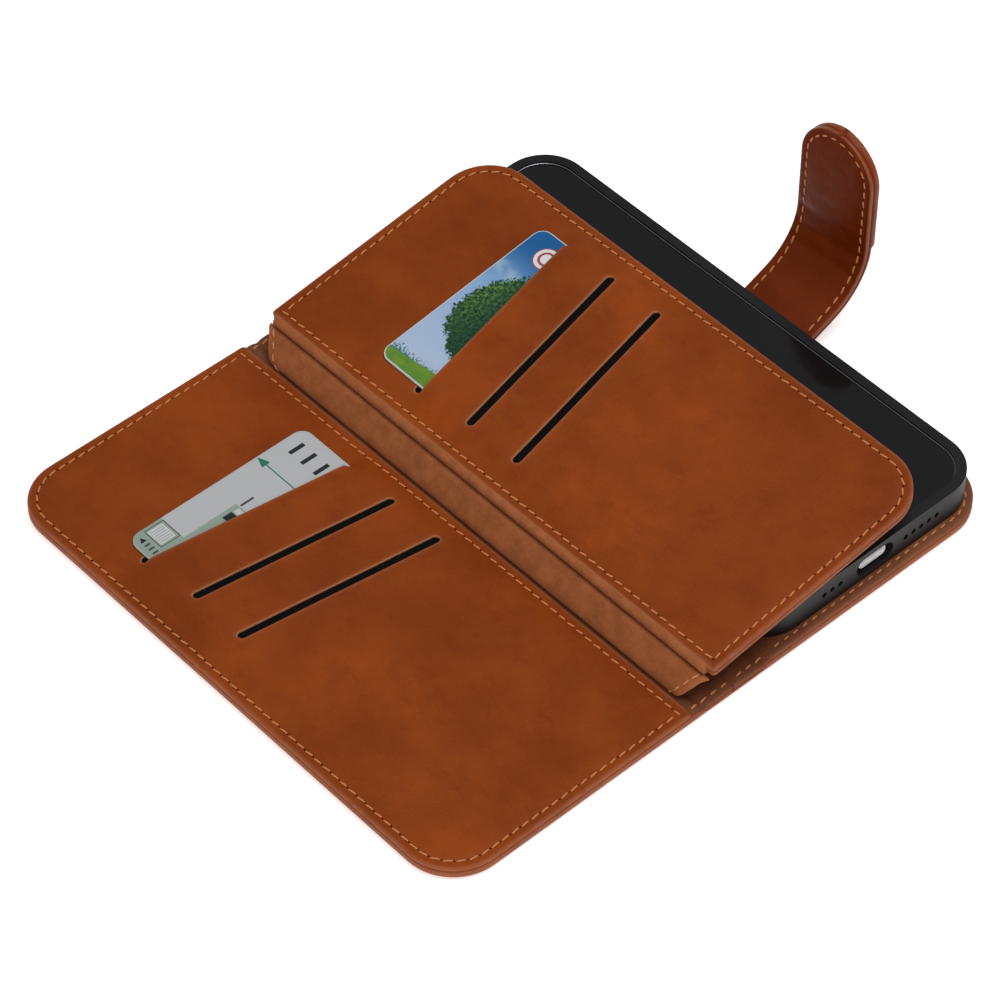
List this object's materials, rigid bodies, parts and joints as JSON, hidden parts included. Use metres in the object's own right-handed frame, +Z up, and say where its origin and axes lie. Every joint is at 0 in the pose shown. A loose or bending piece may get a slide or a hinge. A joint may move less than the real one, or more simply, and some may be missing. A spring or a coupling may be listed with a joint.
{
  "type": "phone wallet case",
  "caption": "Open leather phone wallet case: front cover and raised inner page with card slits, phone in a black shell on the back cover, magnetic strap.",
  "frame": {"origin": "on the underside of the open case, in the middle of the spine's width and of the covers' length", "axes": "+X from the spine to the phone's cover and strap, +Y to the top end of the phone, +Z up from the table"},
  "size_m": [0.1973, 0.158, 0.0535],
  "materials": {
    "leather": "smooth waxed tan leather",
    "thread": "light orange polyester thread",
    "pocket_mesh": "black woven mesh",
    "suede": "matte brown suede",
    "lining_leather": "matte dark brown lining",
    "board": "grey board",
    "shell": "soft-touch black",
    "phone_metal": "dark satin",
    "phone_glass": "polished black, switched off",
    "port_metal": "bright",
    "steel_plate": "plain",
    "magnet": "nickel plated",
    "grey_card": "satin silver print",
    "blue_card": "gloss landscape print"
  },
  "bodies": {
    "back_cover": {"back_outer_leather": "leather", "back_board": "board", "back_lining": "lining_leather", "back_stitching": "thread", "phone_shell": "shell", "phone_body": "phone_metal", "phone_glass": "phone_glass", "phone_port": "port_metal", "phone_camera": "phone_glass", "strap_anchor": "leather", "strap_root_bead": "leather"},
    "power_button": {"power_button": "shell"},
    "volume_up_button": {"volume_up_button": "shell"},
    "volume_down_button": {"volume_down_button": "shell"},
    "spine": {"spine_outer_leather": "leather", "spine_stiffener": "board", "spine_lining": "lining_leather"},
    "front_cover": {"front_outer_leather": "leather", "front_board": "board", "front_catch_plate": "steel_plate", "front_hinge_lining": "lining_leather", "front_pocket_leather": "leather", "front_pocket_lining": "pocket_mesh", "front_stitching": "thread"},
    "grey_card": {"grey_card": "grey_card"},
    "gusset": {"page_gusset": "suede"},
    "page_ridge": {"page_ridge_binding": "leather"},
    "page": {"page_back_leather": "leather", "page_board": "board", "page_pocket_leather": "leather", "page_pocket_lining": "pocket_mesh", "page_stitching": "thread"},
    "blue_card": {"blue_card": "blue_card"},
    "strap_side": {"strap_side_outer": "leather", "strap_side_inner": "leather", "strap_side_stitching": "thread"},
    "strap_bend": {"strap_bend_outer": "leather", "strap_bend_inner": "leather"},
    "strap_tab": {"strap_tab_outer": "leather", "strap_tab_inner": "leather", "strap_tab_patch": "leather", "strap_tab_stitching": "thread", "strap_magnet": "magnet"}
  },
  "joints": [
    {"name": "case_close", "type": "hinge", "parent": "back_cover", "child": "spine", "pos_m": [0.0094, 0, 0.00165], "axis": [0, 1, 0], "range_deg": [0, 90]},
    {"name": "front_fold", "type": "hinge", "parent": "spine", "child": "front_cover", "pos_m": [-0.0094, 0, 0.00165], "axis": [0, 1, 0], "range_deg": [0, 90]},
    {"name": "gusset_shift", "type": "slide", "parent": "spine", "child": "gusset", "axis": [0.608, 0, -0.794], "range_m": [0, 0.00699], "deforming": ["page_gusset"]},
    {"name": "page_level", "type": "hinge", "parent": "gusset", "child": "page_ridge", "pos_m": [-0.0068, 0, 0.0117], "axis": [0, 1, 0], "range_deg": [-82.01, 0]},
    {"name": "page_turn", "type": "hinge", "parent": "page_ridge", "child": "page", "pos_m": [-0.0068, 0, 0.0117], "axis": [0, 1, 0], "range_deg": [-172, 0]},
    {"name": "grey_card_slide", "type": "slide", "parent": "front_cover", "child": "grey_card", "axis": [0, -0.9999, -0.014], "range_m": [-0.06, 0.006]},
    {"name": "blue_card_slide", "type": "slide", "parent": "page", "child": "blue_card", "axis": [0.0019, -0.9999, -0.0138], "range_m": [-0.06, 0.006]},
    {"name": "strap_fold", "type": "hinge", "parent": "back_cover", "child": "strap_side", "pos_m": [0.0887, -0.002, 0.0024], "axis": [0, -1, 0], "range_deg": [-22, 48.3]},
    {"name": "strap_elbow", "type": "hinge", "parent": "strap_side", "child": "strap_bend", "pos_m": [0.106, -0.002, 0.01483], "axis": [0, -1, 0], "range_deg": [-23.1, 50.71]},
    {"name": "strap_curl", "type": "hinge", "parent": "strap_bend", "child": "strap_tab", "pos_m": [0.1084, -0.002, 0.02381], "axis": [0, -1, 0], "range_deg": [-15.01, 6.84]},
    {"name": "power_button_press", "type": "slide", "parent": "back_cover", "child": "power_button", "axis": [-1, 0, 0], "range_m": [0, 0.0003], "stiffness_N_per_m": 600},
    {"name": "volume_up_button_press", "type": "slide", "parent": "back_cover", "child": "volume_up_button", "axis": [1, 0, 0], "range_m": [0, 0.0003], "stiffness_N_per_m": 600},
    {"name": "volume_down_button_press", "type": "slide", "parent": "back_cover", "child": "volume_down_button", "axis": [1, 0, 0], "range_m": [0, 0.0003], "stiffness_N_per_m": 600}
  ],
  "couplings": [
    {"joint": "front_fold", "follows": "case_close", "ratio": 1},
    {"joint": "gusset_shift", "follows": "case_close", "m_per_rad": 0.0044502},
    {"joint": "page_level", "follows": "case_close", "ratio": -0.91111},
    {"joint": "strap_elbow", "follows": "strap_fold", "ratio": 1.0497},
    {"joint": "strap_curl", "follows": "strap_fold", "ratio": -0.31056}
  ]
}
